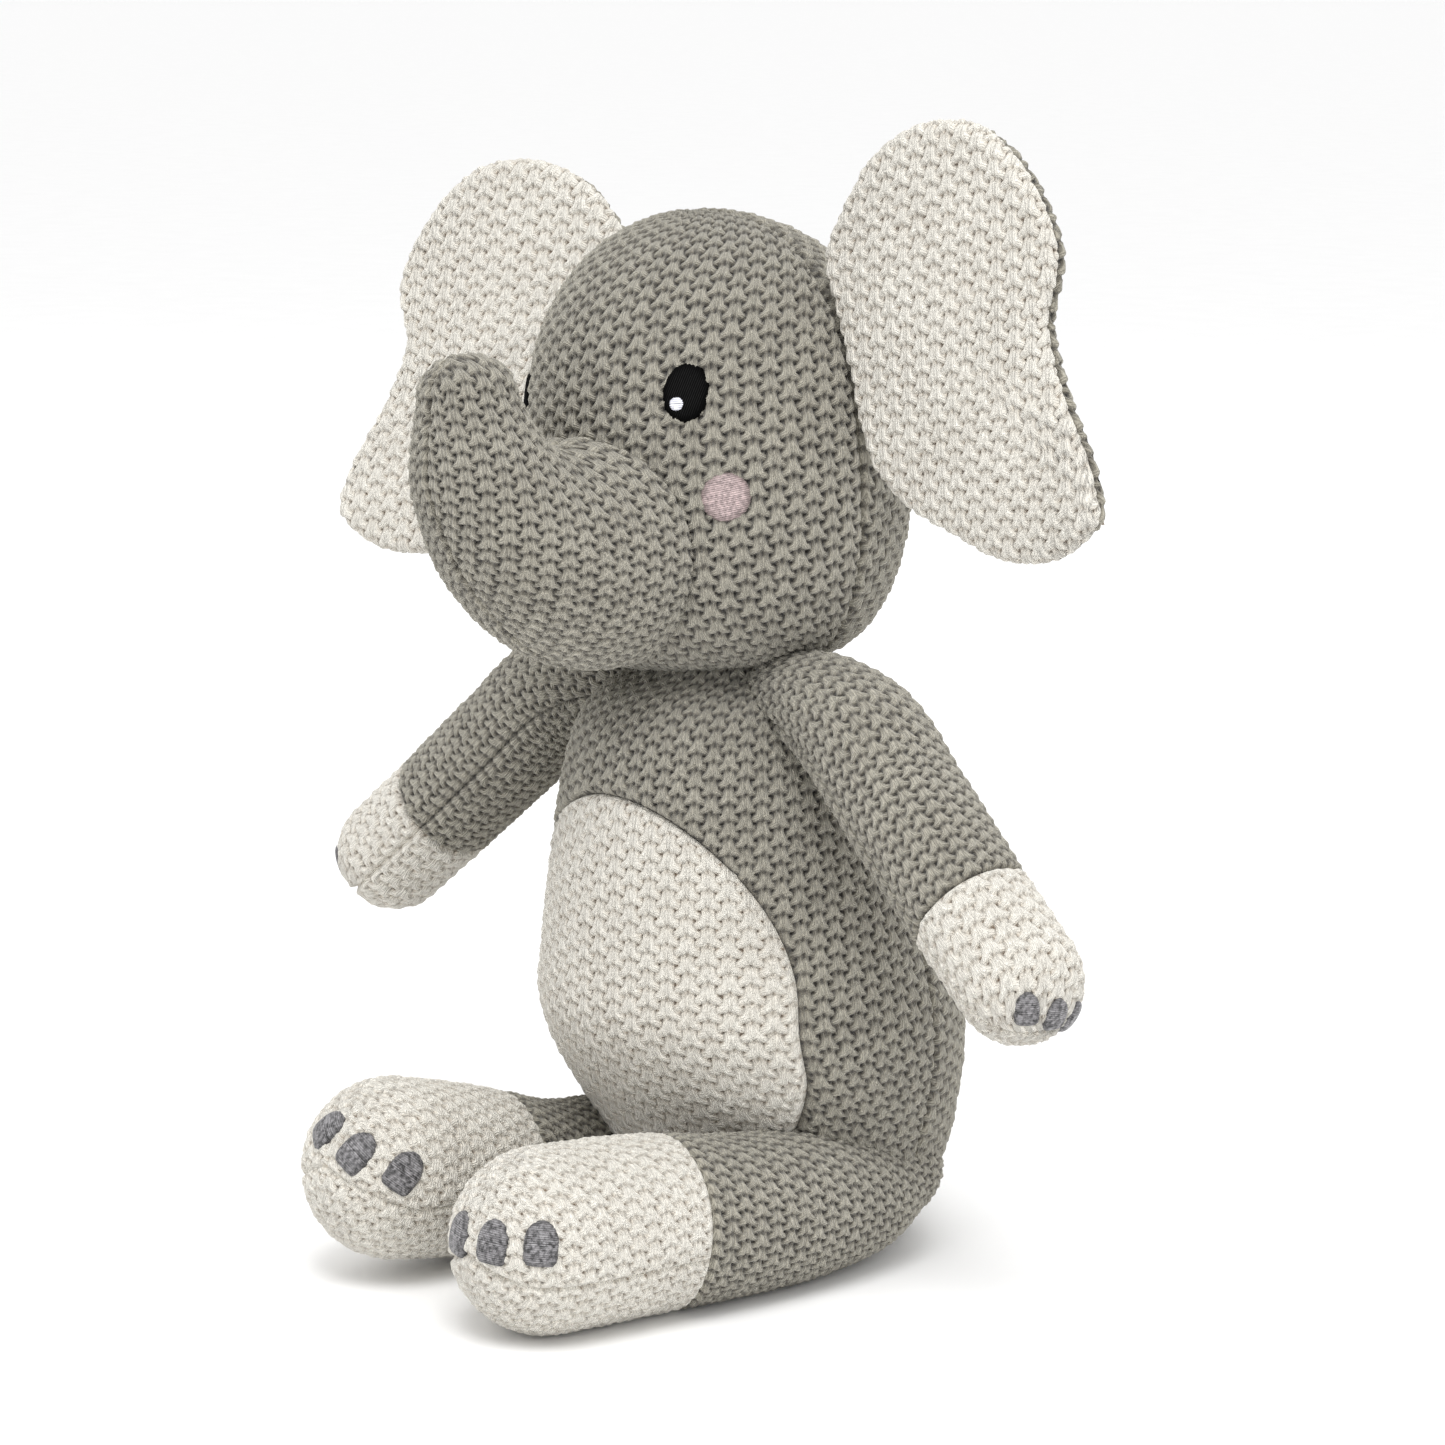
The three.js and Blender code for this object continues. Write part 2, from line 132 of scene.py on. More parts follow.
# Degrees that each ear turns about X, Y and Z of the head.
EAR_TURN = {"left": (0, 0, 0), "right": (-10, 3, 9)}
EAR_ROOT_Y = 6
EAR_POINTS = 232  # across the grid of an ear panel
EAR_MIDDLE = (80, 72)
EAR_PIVOT = (46, 72)
EAR_OUTLINE = [
    (36, 94), (43, 105), (55, 116), (71, 121), (88, 119), (104, 104), (109, 91), (105, 76),
    (109, 62), (118, 44), (120, 35), (109, 27), (92, 25.5), (74, 31.5), (58, 39), (51, 45),
    (46, 55), (43, 67), (39, 81),
]

# Seen from in front of the head: degrees round from -Y, height, half width and half height.
EYE = {"side": 40, "height": 66, "half": (5.2, 6.8), "lean": -14}
HIGHLIGHT = {"side": 37.3, "height": 63.6, "half": (1.8, 1.8), "lean": 0}
CHEEK = {"side": 50, "height": 42.5, "half": (5.7, 5.5), "lean": 0}

# Centre line of the left arm, from inside the shoulder to the middle of the paw, and its radius.
ARM_LINE = [
    ((15, -9.5, 129), 8.5),
    ((26, -11, 132.5), 10),
    ((36, -12, 131.5), 12),
    ((47, -13, 127.2), 13.8),
    ((65, -15.3, 112.2), 14.2),
    ((83.5, -17.7, 96.2), 13.9),
    ((102, -20, 80.8), 13.8),
]
RIGHT_ARM_DROP = 1
ARM_CUFF = 85
ARM_SEAM = 205

LEGS = {
    "left": {"hip": (33, 7, 17.2), "toe": (24, -88, 20.7)},
    "right": {"hip": (-29, 11, 17.2), "toe": (-33, -82, 25)},
}
# Along a leg: share of the way from the hip to the toe, radius, bow outwards and lift.
LEG_SHAPE = {
    "left": (
        (-0.10, 11, -2, 1.5),
        (0.05, 14.2, 1, -1.2),
        (0.25, 16.8, 3.6, -1.0),
        (0.5, 18.2, 4.0, -0.6),
        (0.75, 20.0, 1.6, 0.2),
        (1, 20.5, 0, 0),
    ),
    "right": (
        (-0.10, 10, -2, 1),
        (0.05, 13, 0, -2),
        (0.25, 14.8, 1, -4.2),
        (0.5, 15.8, 1, -5),
        (0.72, 19.0, 0.5, -3.4),
        (1, 20.5, 0, 0),
    ),
}
FOOT_RADIUS = 20.5
LEG_CUFF = 63
SOLE_Z = 15

# Nails, seen from the middle of the toe or paw: degrees round from -Y, and degrees up from level.
FOOT_NAILS = {
    "left": ((-18, 12), (14, 13), (46, 14)),
    "right": ((-10, 35), (24, 24), (57, 12)),
}
FOOT_NAIL_LEAN = {"left": 4, "right": 38}
FOOT_NAIL_HALF = (4, 5.3)
PAW_NAILS = ((49, -14), (80, -22), (112, -30))
PAW_NAIL_HALF = (2.9, 4.2)
PAW_RADIUS = 13.7

SEAM_DEPTH = 2.6
SEAM_WIDTH = 3.0

# ---------- Curves and frames ----------


def turned(axis, degrees):
    """A rotation matrix about X, Y or Z."""
    angle = math.radians(degrees)
    c, s = math.cos(angle), math.sin(angle)
    rows = {
        "x": [[1, 0, 0], [0, c, -s], [0, s, c]],
        "y": [[c, 0, s], [0, 1, 0], [-s, 0, c]],
        "z": [[c, -s, 0], [s, c, 0], [0, 0, 1]],
    }
    return np.array(rows[axis])


HEAD_AXES = turned("z", HEAD_TURN) @ turned("y", HEAD_TILT)


def from_head(points):
    """Points in the head's own frame, moved to the row frame."""
    return np.asarray(points) @ HEAD_AXES.T + NECK


def unit(vectors):
    """Vectors of length 1."""
    length = np.linalg.norm(vectors, axis=-1, keepdims=True)
    return vectors / np.maximum(length, 1e-9)


def ease(value):
    """0 to 1 with no corner at either end."""
    t = np.clip(value, 0, 1)
    return t * t * (3 - 2 * t)


def smooth_through(keys, rows, at):
    """A smooth curve through rows of values at keys, read at each place in at."""
    keys = np.asarray(keys, float)
    rows = np.asarray(rows, float)
    slopes = np.gradient(rows, keys, axis=0)
    index = np.clip(np.searchsorted(keys, at, side="right") - 1, 0, len(keys) - 2)
    width = (keys[index + 1] - keys[index])[..., None]
    t = (np.asarray(at) - keys[index])[..., None] / width
    before, after = rows[index], rows[index + 1]
    start, end = slopes[index] * width, slopes[index + 1] * width
    return (
        before * (1 + 2 * t) * (1 - t) ** 2
        + start * t * (1 - t) ** 2
        + after * t * t * (3 - 2 * t)
        + end * t * t * (t - 1)
    )


def lengths(points):
    """Distance along a row of points, from the first."""
    steps = np.linalg.norm(np.diff(points, axis=0), axis=1)
    return np.concatenate([[0], np.cumsum(steps)])


def spread(low, high, step):
    """Evenly spaced places from low to high, about step apart."""
    return np.linspace(low, high, max(3, int(round((high - low) / step)) + 1))


def disc(count):
    """A square grid of points moved onto a disc of radius 1: across, up and radius."""
    u, v = np.meshgrid(np.linspace(-1, 1, count), np.linspace(-1, 1, count))
    p = u * np.sqrt(1 - v * v / 2)
    q = v * np.sqrt(1 - u * u / 2)
    return p, q, np.hypot(p, q)


# ---------- Knit ----------

# The strokes of yarn that make the right half of one stitch, in widths and heights of a stitch:
# from, to, half width at each, and height above the ground at each.
STROKES = (
    ((0.175, 0.68), (0.170, 0.22), (0.165, 0.190), (0.50, 0.80)),
    ((0.170, 0.22), (0.245, -0.15), (0.200, 0.225), (0.84, 1.04)),
    ((0.245, -0.15), (0.50, -0.28), (0.225, 0.190), (1.04, 0.80)),
)
MIDDLE_STROKE = ((0.0, 0.30), (0.0, -0.10), (0.200, 0.180), (0.86, 0.84))
UNEVEN = 0.032

GREY = {"wale": 4.3, "course": 3.9, "relief": 1.45, "fill": 1.04, "slot": "grey_knit"}
HEAD_GREY = {**GREY, "wale": 4.5, "course": 4.2}
FINE_GREY = {**GREY, "wale": 3.9, "course": 3.5, "relief": 1.3}
CREAM = {"wale": 4.9, "course": 4.3, "relief": 1.3, "fill": 1.16, "slot": "cream_knit"}
FINE_CREAM = {**CREAM, "wale": 4.2, "course": 3.8, "relief": 1.05, "fill": 1.2}


def scatter(column, row, kind):
    """A fixed random number from 0 to 1 for each stitch."""
    value = np.sin(column * 12.9898 + row * 78.233 + kind * 37.719) * 43758.5453
    return value - np.floor(value)


def stroke_height(x, y, stroke, yarn):
    """Height of one stroke of yarn at x, y, and the signed distance from its middle line."""
    (ax, ay), (bx, by), half, top = stroke
    ax, bx = ax * yarn["wale"], bx * yarn["wale"]
    ay, by = ay * yarn["course"], by * yarn["course"]
    dx, dy = bx - ax, by - ay
    length = math.hypot(dx, dy)
    t = np.clip(((x - ax) * dx + (y - ay) * dy) / length**2, 0, 1)
    ex, ey = x - ax - t * dx, y - ay - t * dy
    radius = (half[0] + (half[1] - half[0]) * t) * yarn["wale"] * yarn["fill"]
    round_top = np.sqrt(np.clip(1 - (ex * ex + ey * ey) / radius**2, 0, 1))
    return round_top * (top[0] + (top[1] - top[0]) * t), (ex * dy - ey * dx) / length


def knit_height(across, along, yarn):
    """Height of the knit from 0 in its gaps to about 1, and the place across the yarn's strands."""
    across = across + 0.3 * np.sin(along / 14 + across / 29)
    along = along + 0.25 * np.sin(across / 17 - along / 31)
    column = np.round(across / yarn["wale"])
    height = np.zeros_like(across)
    strand = np.zeros_like(across)
    for near in (-1, 0, 1):
        c = column + near
        stagger = np.where(np.mod(c, 2) > 0.5, 0.5, 0.0)
        row = np.round(along / yarn["course"] - stagger)
        for above in (-1, 0, 1):
            r = row + above
            y = along - (r + stagger + (scatter(c, r, 2) - 0.5) * 2 * UNEVEN) * yarn["course"]
            x = across - (c + (scatter(c, r, 1) - 0.5) * 2 * UNEVEN) * yarn["wale"]
            x = x - (scatter(c, r, 4) - 0.5) * 0.16 * y
            lift = 1 + (scatter(c, r, 3) - 0.5) * 0.2
            for stroke, sides in [(s, (-1, 1)) for s in STROKES] + [(MIDDLE_STROKE, (1,))]:
                for side in sides:
                    rise, place = stroke_height(x * side, y, stroke, yarn)
                    rise = rise * lift
                    higher = rise > height
                    height = np.where(higher, rise, height)
                    strand = np.where(higher, place * side, strand)
    return height, strand


# ---------- Meshes ----------


def grid_normals(points, inside, wrap):
    """Outward normals of a grid, and whether its faces have to be turned over."""
    along = np.gradient(points, axis=0)
    if wrap:
        across = (np.roll(points, -1, axis=1) - np.roll(points, 1, axis=1)) / 2
    else:
        across = np.gradient(points, axis=1)
    normals = np.cross(across, along)
    turn_over = float(np.sum(normals * (points - inside))) < 0
    return unit(-normals if turn_over else normals), turn_over


def fill_pole(normals, row, beside):
    """Gives every point of a row that is a single point the same normal."""
    normals[row] = unit(normals[beside].mean(axis=0))


def grid_faces(rows, columns, wrap, poles, turn_over, keep):
    """Four-sided faces of a grid, and three-sided ones at its poles, as arrays of point numbers."""
    number = np.arange(rows * columns).reshape(rows, columns)
    if "low" in poles:
        number[0] = number[0, 0]
    if "high" in poles:
        number[-1] = number[-1, 0]
    right = np.roll(number, -1, axis=1) if wrap else number[:, 1:]
    left = number if wrap else number[:, :-1]
    quads = np.stack([left[:-1], right[:-1], right[1:], left[1:]], -1)
    first = 1 if "low" in poles else 0
    last = quads.shape[0] - (1 if "high" in poles else 0)
    triangles = []
    if "low" in poles:
        triangles.append(quads[0][:, [0, 2, 3]])
    if "high" in poles:
        triangles.append(quads[-1][:, [0, 1, 2]])
    quads = quads[first:last].reshape(-1, 4)
    triangles = np.concatenate(triangles) if triangles else np.zeros((0, 3), int)
    if keep is not None:
        quads = quads[keep.ravel()[quads].any(axis=1)]
    if not turn_over:
        return quads, triangles
    return quads[:, ::-1], triangles[:, ::-1]


def mesh_object(name, points, quads, triangles, values):
    """A smooth-shaded object from points in millimetres, with one number a point for each name."""
    used = np.zeros(len(points), bool)
    used[quads.ravel()] = True
    used[triangles.ravel()] = True
    renumber = np.cumsum(used) - 1
    quads, triangles = renumber[quads], renumber[triangles]
    mesh = bpy.data.meshes.new(name + "_look")
    mesh.vertices.add(int(used.sum()))
    mesh.vertices.foreach_set("co", (points[used] * MM).astype(np.float32).ravel())
    mesh.loops.add(quads.size + triangles.size)
    loops = np.concatenate([quads.ravel(), triangles.ravel()]).astype(np.int32)
    mesh.loops.foreach_set("vertex_index", loops)
    starts = np.concatenate([
        np.arange(len(quads)) * 4,
        quads.size + np.arange(len(triangles)) * 3,
    ]).astype(np.int32)
    mesh.polygons.add(len(starts))
    mesh.polygons.foreach_set("loop_start", starts)
    mesh.update(calc_edges=True)
    mesh.shade_smooth()
    for key, value in values.items():
        attribute = mesh.attributes.new(key, "FLOAT", "POINT")
        attribute.data.foreach_set("value", value.ravel()[used].astype(np.float32))
    piece = bpy.data.objects.new(name + "_look", mesh)
    bpy.context.scene.collection.objects.link(piece)
    return piece


def edge_distance(points, seams):
    """Distance in the cloth from each point of a grid to the nearest of its seams."""
    nearest = np.full(points.shape[:2], 1e3)
    for axis, names in ((0, ("low", "high")), (1, ("left", "right"))):
        steps = np.linalg.norm(np.diff(points, axis=axis), axis=2)
        shape = list(steps.shape)
        shape[axis] = 1
        run = np.concatenate([np.zeros(shape), np.cumsum(steps, axis=axis)], axis=axis)
        total = np.take(run, [-1], axis=axis)
        if names[0] in seams:
            nearest = np.minimum(nearest, run)
        if names[1] in seams:
            nearest = np.minimum(nearest, total - run)
    return nearest


def roll_in(distance, width, depth):
    """How far a panel dips at a distance from its seam, as a quarter circle and then straight in."""
    t = np.clip(distance / width, 0, 1)
    return depth * (1 - np.sqrt(1 - (1 - t) ** 2)) + np.clip(-distance, 0, 4)


def knit_panel(name, points, across, along, yarn, inside, **shape):
    """A panel of knit on a grid of points in the row frame. across and along are places in the cloth.

    shape may hold wrap, poles, seams, edge (distances to further seams), depth and width of the
    seams, flat, the height of the surface that the panel rests on, and shade, which sets how
    much painted shade darkens the colour at the seams (1 paints none).
    """
    wrap = shape.get("wrap", False)
    poles = shape.get("poles", ())
    normals, turn_over = grid_normals(points, np.asarray(inside, float), wrap)
    if "low" in poles:
        fill_pole(normals, 0, 1)
    if "high" in poles:
        fill_pole(normals, -1, -2)
    edge = edge_distance(points, shape.get("seams", ()))
    if "edge" in shape:
        edge = np.minimum(edge, shape["edge"])
    height, strand = knit_height(across, along, yarn)
    dip = roll_in(edge, shape.get("width", SEAM_WIDTH), shape.get("depth", SEAM_DEPTH))
    raised = height * yarn["relief"] * ease(edge / 1.2) - yarn["relief"] * 0.55
    placed = points + normals * (raised - dip)[..., None]
    if "flat" in shape:
        placed[..., 2] = np.maximum(placed[..., 2], shape["flat"])
    rows, columns = points.shape[:2]
    keep = edge > -3 if "edge" in shape else None
    quads, triangles = grid_faces(rows, columns, wrap, poles, turn_over, keep)
    # Painted shade: the height that colours the knit is lowered near the seams, so their creases come
    # out darker.
    shade = ease(shape.get("shade", 0.55) + edge / 2)
    values = {"height": height * shade, "strand": strand}
    piece = mesh_object(name, placed.reshape(-1, 3), quads, triangles, values)
    piece.data.materials.append(MATERIALS[yarn["slot"]])
    return piece


# ---------- Materials ----------


class Nodes:
    """A short way to write a material's nodes."""

    def __init__(self, name):
        self.material = bpy.data.materials.new(name)
        self.material.use_nodes = True
        self.tree = self.material.node_tree
        self.shader = self.tree.nodes["Principled BSDF"]

    def add(self, kind, inputs=None, **settings):
        node = self.tree.nodes.new("ShaderNode" + kind)
        for key, value in settings.items():
            setattr(node, key, value)
        for key, value in (inputs or {}).items():
            self.set(node.inputs[key], value)
        return node

    def set(self, socket, value):
        if isinstance(value, bpy.types.NodeSocket):
            self.tree.links.new(value, socket)
        else:
            socket.default_value = value

    def math(self, operation, *values):
        node = self.add("Math", operation=operation)
        for socket, value in zip(node.inputs, values):
            self.set(socket, value)
        return node.outputs[0]

    def attribute(self, name):
        return self.add("Attribute", attribute_name=name).outputs["Fac"]

    def noise(self, size_mm, detail=3):
        place = self.add("TexCoord").outputs["Object"]
        inputs = {"Vector": place, "Scale": 1 / (size_mm * MM), "Detail": detail}
        return self.add("TexNoise", inputs).outputs["Fac"]

    def ramp(self, fac, stops):
        node = self.add("ValToRGB", {"Fac": fac})
        elements = node.color_ramp.elements
        while len(elements) < len(stops):
            elements.new(0.5)
        for element, (place, colour) in zip(elements, stops):
            element.position = place
            element.color = (*colour, 1)
        return node.outputs["Color"]

    def mix(self, mode, fac, a, b):
        node = self.add("Mix", data_type="RGBA", blend_type=mode)
        for socket, value in ((node.inputs[0], fac), (node.inputs[6], a), (node.inputs[7], b)):
            self.set(socket, value)
        return node.outputs[2]

    def finish(self, colour, bump, roughness, sheen, specular):
        for key, value in (
            ("Base Color", colour), ("Roughness", roughness), ("Sheen Weight", sheen),
            ("Sheen Roughness", 0.5), ("Specular IOR Level", specular), ("Normal", bump),
        ):
            self.set(self.shader.inputs[key], value)
        return self.material


def knit_material(name, painted_gap_shade, shade, yarn, strand_mm, streak_low):
    """Cotton yarn: painted shade down in the gaps and at the seams, heathered, with fine strands and
    stray fibres.
    """
    nodes = Nodes(name)
    height = nodes.attribute("height")
    strand = nodes.attribute("strand")
    # Painted shade: from the yarn's own colour on the stitch tops, through a shade colour, to the gap
    # colour down in the gaps.
    base = nodes.ramp(height, ((0.03, painted_gap_shade), (0.45, shade), (0.85, yarn)))
    heather = nodes.noise(0.9, 4)
    patch = nodes.noise(14, 2)
    tone = nodes.ramp(heather, ((0.3, (0.88, 0.87, 0.86)), (0.7, (1.06, 1.06, 1.06))))
    wide = nodes.ramp(patch, ((0.3, (0.96, 0.955, 0.95)), (0.7, (1.03, 1.03, 1.03))))
    colour = nodes.mix("MULTIPLY", 1.0, base, tone)
    colour = nodes.mix("MULTIPLY", 1.0, colour, wide)
    wander = nodes.math("MULTIPLY", nodes.noise(2.2, 2), 2.4)
    turns = nodes.math("MULTIPLY", strand, 2 * math.pi / strand_mm)
    lines = nodes.math("SINE", nodes.math("ADD", turns, wander))
    fibres = nodes.math("MULTIPLY", nodes.noise(0.28, 5), 1.6)
    relief = nodes.math("ADD", nodes.math("MULTIPLY", lines, 0.5), fibres)
    bump = nodes.add("Bump", {"Height": relief, "Strength": 0.9, "Distance": 0.00035})
    # Painted shade in the grooves between the yarn's strands, and a faint painted highlight on their
    # crowns.
    streak = nodes.ramp(nodes.math("ADD", nodes.math("MULTIPLY", lines, 0.5), 0.5),
                        ((0.0, (streak_low,) * 3), (0.6, (1.05, 1.05, 1.05))))
    colour = nodes.mix("MULTIPLY", 0.8, colour, streak)
    return nodes.finish(colour, bump.outputs["Normal"], 0.92, 0.25, 0.2)


def thread_material(name, colour, roughness, specular=0.5, sheen=0.1, fleck=0.82):
    """Shiny embroidery thread: the lie of the threads is in the mesh, their ply in the bump, with
    painted shade and painted highlight in the colour.
    """
    nodes = Nodes(name)
    strand = nodes.attribute("strand")
    ply = nodes.math("SINE", nodes.math("MULTIPLY", strand, 2 * math.pi / 0.16))
    grain = nodes.noise(0.25, 4)
    relief = nodes.math("ADD", nodes.math("MULTIPLY", ply, 0.5), grain)
    bump = nodes.add("Bump", {"Height": relief, "Strength": 0.4, "Distance": 0.0001})
    # Painted shade in the grooves between threads and at the pad's edge, and a painted highlight on the
    # threads' crowns.
    low = tuple(value * 0.3 for value in colour)
    high = tuple(min(1, value * 1.35 + 0.01) for value in colour)
    shade = nodes.ramp(nodes.attribute("height"), ((0.1, low), (0.75, colour), (1.0, high)))
    streak = nodes.add("TexNoise", {"W": nodes.math("MULTIPLY", strand, 2.6)}, noise_dimensions="1D")
    mix = nodes.math("ADD", nodes.math("MULTIPLY", streak.outputs["Fac"], 0.5),
                     nodes.math("MULTIPLY", nodes.noise(0.9, 3), 0.5))
    tone = nodes.ramp(mix, ((0.44, (fleck,) * 3), (0.56, (2 - fleck,) * 3)))
    shade = nodes.mix("MULTIPLY", 1.0, shade, tone)
    return nodes.finish(shade, bump.outputs["Normal"], roughness, sheen, specular)


# Each knit's colours: painted shade down in the gaps, painted shade part way up, and the yarn's own
# colour.
MATERIALS = {
    "grey_knit": knit_material(
        "grey_knit", (0.018, 0.015, 0.011), (0.175, 0.16, 0.13), (0.47, 0.445, 0.372), 0.46, 0.62),
    "cream_knit": knit_material(
        "cream_knit", (0.34, 0.235, 0.15), (0.80, 0.745, 0.65), (0.92, 0.89, 0.81), 0.5, 0.88),
    "black_thread": thread_material("black_thread", (0.002, 0.002, 0.002), 0.65, 0.04, 0),
    "pale_thread": thread_material("pale_thread", (0.72, 0.72, 0.82), 0.4),
    "pink_thread": thread_material("pink_thread", (0.37, 0.285, 0.28), 0.4, fleck=0.6),
    "nail_thread": thread_material("nail_thread", (0.15, 0.145, 0.15), 0.34, fleck=0.1),
}

# ---------- Round forms: the body and the head ----------


class RoundForm:
    """A smooth form through elliptical levels. Angle 0 faces -Y, and distance runs up its side."""

    def __init__(self, levels, poles):
        table = np.array(levels, float)
        profile = np.stack([table[:, 0], (table[:, 1] + table[:, 2]) / 2], -1)
        keys = lengths(profile)
        self.length = keys[-1]
        self.poles = poles
        if "high" in poles:
            beyond = table[-2] * (1, -1, -1, 1)
            keys = np.append(keys, 2 * keys[-1] - keys[-2])
            table = np.vstack([table, beyond])
        if "low" in poles:
            beyond = table[1] * (1, -1, -1, 1)
            keys = np.insert(keys, 0, -keys[1])
            table = np.vstack([beyond, table])
        self.keys = keys
        self.table = table
        fine = np.linspace(0, self.length, 600)
        self.fine = fine
        self.fine_levels = smooth_through(keys, table, fine)
        self.widest = float(self.fine_levels[:, 1].max())

    def level(self, distance):
        """Height, half width, half depth and centre along Y at each distance."""
        return np.moveaxis(smooth_through(self.keys, self.table, distance), -1, 0)

    def place(self, angle, distance):
        z, half_x, half_y, y = self.level(distance)
        x = half_x * np.sin(angle)
        return np.stack([x, y - half_y * np.cos(angle), z + 0 * angle], -1)

    def distance_at(self, height):
        """How far up the side a height is."""
        rising = np.maximum.accumulate(self.fine_levels[:, 0])
        return np.interp(height, rising + np.arange(600) * 1e-7, self.fine)

    def across(self, angle, distance):
        """Place in the cloth across the wales, which draw together towards a pole."""
        _, half_x, half_y, _ = self.level(distance)
        return angle * (0.62 * (half_x + half_y) / 2 + 0.38 * self.widest)

    def seam_angle(self, distance, seam_y, most):
        """Angle of the side seam at each distance, which is on a plane except close to a pole."""
        _, _, half_y, y = self.level(distance)
        lean = (y - seam_y) / np.maximum(half_y, 1e-6)
        return np.arccos(np.clip(lean, -most, most))

    def grid(self, seam_y, most, front, step):
        """Angles and distances of a front or back panel's points."""
        distance = spread(0, self.length, step)[:, None]
        seam = self.seam_angle(distance, seam_y, most)
        half = seam if front else math.pi - seam
        count = spread(-1, 1, step / (float(half.max()) * self.widest))
        middle = 0 if front else math.pi
        return middle + half * count[None, :], distance + 0 * count[None, :]


body_form = RoundForm(BODY_LEVELS, ("low",))
head_form = RoundForm(HEAD_LEVELS, ("high",))


def patch_half_width(z):
    """Half width of the belly patch's oval at a height: it narrows a little to the seat."""
    low = ease((BELLY_PATCH["height"] - 8 - z) / 46)
    return BELLY_PATCH["half"][0] * (1 - BELLY_PATCH["narrowing"] * low)


def patch_edge(x, z):
    """Distance outwards from the outline of the belly patch, seen from in front."""
    half_x, half_z = patch_half_width(z), BELLY_PATCH["half"][1]
    up = z - BELLY_PATCH["height"]
    reach = np.hypot(x / half_x, up / half_z)
    slope = np.hypot(x / half_x**2, up / half_z**2) / np.maximum(reach, 1e-6)
    return (reach - 1) / np.maximum(slope, 1e-6)


def make_body():
    """The front and back panels, and the patch let into the front."""
    inside = (0, 2, 60)
    pieces = {}
    for name, front in (("body_front_panel", True), ("body_back_panel", False)):
        angle, distance = body_form.grid(BODY_SEAM_Y, 0.52, front, 0.55)
        points = body_form.place(angle, distance)
        shape = {"poles": ("low",), "seams": ("left", "right"), "flat": 0.0,
                 "width": 2.0, "depth": 1.4}
        if front:
            shape["edge"] = patch_edge(points[..., 0], points[..., 2])
        else:
            angle = angle - math.pi
        across = body_form.across(angle, distance)
        pieces[name] = knit_panel(name, points, across, distance, GREY, inside, **shape)
    p, q, radius = disc(int(2 * BELLY_PATCH["half"][1] / 0.44))
    height = BELLY_PATCH["height"] + q * BELLY_PATCH["half"][1]
    distance = body_form.distance_at(height)
    half_x = body_form.level(distance)[1]
    angle = np.arcsin(np.clip(p * patch_half_width(height) / half_x, -0.99, 0.99))
    points = body_form.place(angle, distance)
    edge = -patch_edge(points[..., 0], points[..., 2])
    across = body_form.across(angle, distance)
    pieces["belly_patch"] = knit_panel(
        "belly_patch", points, across, distance, CREAM, inside,
        edge=np.maximum(edge, 0), width=1.8, depth=1.0, shade=0.8, flat=0.0)
    for name, piece in pieces.items():
        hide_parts(name, *(["body_filling"] if name == "body_front_panel" else []))
        if name == "belly_patch":
            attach(piece, "torso")
        else:
            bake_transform(piece)


def make_head():
    """The front and back panels of the head."""
    inside = from_head((0, 1, 50))
    for name, front in (("head_front_panel", True), ("head_back_panel", False)):
        angle, distance = head_form.grid(HEAD_SEAM_Y, 0.25, front, 0.48)
        points = from_head(head_form.place(angle, distance))
        across = head_form.across(angle if front else angle - math.pi, distance)
        piece = knit_panel(name, points, across, distance, HEAD_GREY, inside,
                           poles=("high",), seams=("left", "right"))
        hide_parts(name, *(["head_filling"] if front else []))
        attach(piece, "head")


# ---------- Tubes: the trunk, the arms and the legs ----------


class Tube:
    """A round tube along a smooth line, with an optional round end. Angle 0 is on the side given."""

    def __init__(self, stations, side, round_end=True, round_start=False):
        centres = np.array([centre for centre, _ in stations], float)
        radii = np.array([radius for _, radius in stations], float)
        keys = lengths(centres)
        if round_end:
            along = unit(centres[-1] - centres[-2])
            centres = np.vstack([centres, centres[-1] + along * radii[-1]])
            radii = np.append(radii, radii[-1])
            keys = np.append(keys, keys[-1] + radii[-1])
        if round_start:
            along = unit(centres[0] - centres[1])
            centres = np.vstack([centres[0] + along * radii[0], centres])
            radii = np.insert(radii, 0, radii[0])
            keys = np.concatenate([[0], keys + radii[0]])
        self.keys = keys
        self.table = np.column_stack([centres, radii])
        self.length = keys[-1]
        self.end_depth = radii[-1] if round_end else 0
        self.start_depth = radii[0] if round_start else 0
        self.side = np.asarray(side, float)
        self.widest = float(radii.max())

    def radius(self, distance):
        radius = smooth_through(self.keys, self.table, distance)[..., 3]
        if self.end_depth:
            t = np.clip((self.length - distance) / self.end_depth, 0, 1)
            radius = radius * np.sqrt(t * (2 - t))
        if self.start_depth:
            t = np.clip(distance / self.start_depth, 0, 1)
            radius = radius * np.sqrt(t * (2 - t))
        return radius

    def axes(self, distance):
        """Centre, side and the other cross direction at each distance."""
        step = 0.05
        centre = smooth_through(self.keys, self.table, distance)[..., :3]
        ahead = smooth_through(self.keys, self.table, np.minimum(distance + step, self.length))
        behind = smooth_through(self.keys, self.table, np.maximum(distance - step, 0))
        along = unit(ahead[..., :3] - behind[..., :3])
        side = unit(self.side - along * (along @ self.side)[..., None])
        return centre, side, np.cross(along, side)

    def place(self, angle, distance):
        centre, side, other = self.axes(distance)
        radius = self.radius(distance)[..., None]
        return centre + radius * (np.cos(angle)[..., None] * side + np.sin(angle)[..., None] * other)

    def arc(self, distance):
        """Length of the surface from its start to each distance, which is longer on a round end."""
        fine = np.linspace(0, self.length, 1200)
        run = lengths(np.stack([fine, self.radius(fine)], -1))
        return np.interp(distance, fine, run)

    def spaced(self, start, end, step):
        """Distances about step apart on the surface, closer together on a round end."""
        fine = np.linspace(start, end, 800)
        run = self.arc(fine)
        return np.interp(spread(run[0], run[-1], step), run, fine)


